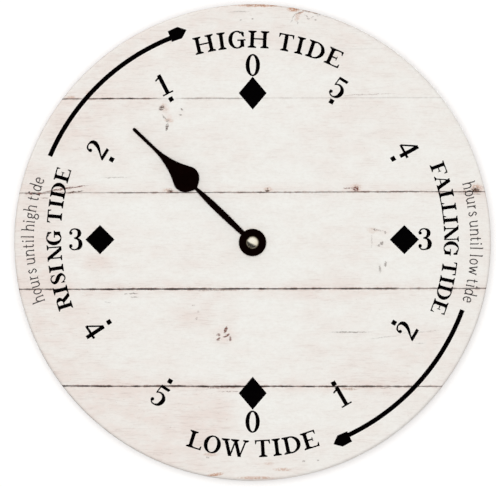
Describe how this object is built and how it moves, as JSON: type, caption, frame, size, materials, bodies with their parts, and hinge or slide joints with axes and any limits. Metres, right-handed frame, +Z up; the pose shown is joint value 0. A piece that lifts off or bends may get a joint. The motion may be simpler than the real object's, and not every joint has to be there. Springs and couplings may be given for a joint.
{
  "type": "tide clock",
  "caption": "Round wall tide clock with a printed board dial, a single spade hand and a quartz movement whose train turns the hand once per tide.",
  "frame": {"origin": "on the hand's axis, where it meets the wall: the rear face of the movement's cover", "axes": "+Y into the wall, so the face looks along -Y; +Z up the dial; +X to the right as the face is read"},
  "size_m": [0.2666, 0.032, 0.2666],
  "materials": {
    "board": "brown hardboard, smooth with a faint fibre",
    "print": "matt printed skin, pale whitewashed boards",
    "plated_steel": "zinc plated, satin",
    "rubber": "matt black rubber",
    "brass": "turned brass, satin",
    "black_hand": "satin black paint on aluminium",
    "nickel": "warm nickel plate, polished",
    "case_plastic": "black moulded plastic, fine spark texture",
    "knob_plastic": "dark grey moulded plastic",
    "wheel_plastic": "natural white acetal",
    "green_wheel": "dull green acetal",
    "magnet": "dark grey sintered magnet",
    "soft_iron": "bare soft iron",
    "copper_wire": "enamelled copper wire",
    "circuit": "green printed circuit",
    "resin": "glossy black resin",
    "cell_metal": "plain wrapped cell with bare ends"
  },
  "bodies": {
    "clock": {"dial_board": "board", "face_print": "print", "hanger": "plated_steel", "rubber_gasket": "rubber", "front_washer": "brass", "hex_nut": "brass", "threaded_bushing": "brass", "movement_case": "case_plastic", "rear_cover": "case_plastic", "middle_plate": "wheel_plastic", "stator": "soft_iron", "coil_core": "soft_iron", "coil_bobbin": "wheel_plastic", "coil_winding": "copper_wire", "stator_screws": "plated_steel", "circuit_board": "circuit", "chip_blob": "resin", "quartz_crystal": "nickel", "positive_contact": "plated_steel", "negative_contact": "plated_steel"},
    "hand": {"tide_hand": "black_hand", "hand_collet": "brass", "cap_nut": "nickel", "tide_wheel": "wheel_plastic"},
    "motion_work": {"motion_wheel": "wheel_plastic", "set_knob": "knob_plastic"},
    "cannon": {"cannon_pinion": "wheel_plastic"},
    "centre": {"centre_wheel": "green_wheel", "clutch_spring": "plated_steel"},
    "third": {"third_wheel": "wheel_plastic"},
    "fourth": {"fourth_wheel": "green_wheel"},
    "intermediate": {"intermediate_wheel": "wheel_plastic"},
    "motor_rotor": {"rotor": "wheel_plastic", "rotor_magnet": "magnet"},
    "cell": {"battery": "cell_metal"}
  },
  "joints": [
    {"name": "hand_turn", "type": "hinge", "parent": "clock", "child": "hand", "pos_m": [0, -0.02, 0], "axis": [0, 1, 0], "continuous": true},
    {"name": "knob_turn", "type": "hinge", "parent": "clock", "child": "motion_work", "pos_m": [-0.00849, -0.008, 0.00849], "axis": [0, 1, 0], "continuous": true},
    {"name": "cannon_turn", "type": "hinge", "parent": "clock", "child": "cannon", "pos_m": [0, -0.008, 0], "axis": [0, 1, 0], "continuous": true},
    {"name": "fourth_turn", "type": "hinge", "parent": "clock", "child": "fourth", "pos_m": [0.01117, -0.005, 0.0092], "axis": [0, 1, 0], "continuous": true},
    {"name": "centre_turn", "type": "hinge", "parent": "clock", "child": "centre", "pos_m": [0, -0.0082, 0], "axis": [0, 1, 0], "continuous": true},
    {"name": "third_turn", "type": "hinge", "parent": "clock", "child": "third", "pos_m": [0.00742, -0.005, 0.0027], "axis": [0, 1, 0], "continuous": true},
    {"name": "intermediate_turn", "type": "hinge", "parent": "clock", "child": "intermediate", "pos_m": [0.00938, -0.005, 0.01413], "axis": [0, 1, 0], "continuous": true},
    {"name": "rotor_turn", "type": "hinge", "parent": "clock", "child": "motor_rotor", "pos_m": [0.00495, -0.005, 0.01491], "axis": [0, 1, 0], "continuous": true},
    {"name": "cell_slide", "type": "slide", "parent": "clock", "child": "cell", "axis": [0, 1, 0], "range_m": [0, 0.02]}
  ],
  "couplings": [
    {"joint": "knob_turn", "follows": "hand_turn", "ratio": -4},
    {"joint": "cannon_turn", "follows": "hand_turn", "ratio": 12},
    {"joint": "third_turn", "follows": "fourth_turn", "ratio": -0.11111},
    {"joint": "centre_turn", "follows": "fourth_turn", "ratio": 0.016103},
    {"joint": "intermediate_turn", "follows": "fourth_turn", "ratio": -6},
    {"joint": "rotor_turn", "follows": "fourth_turn", "ratio": 30}
  ]
}
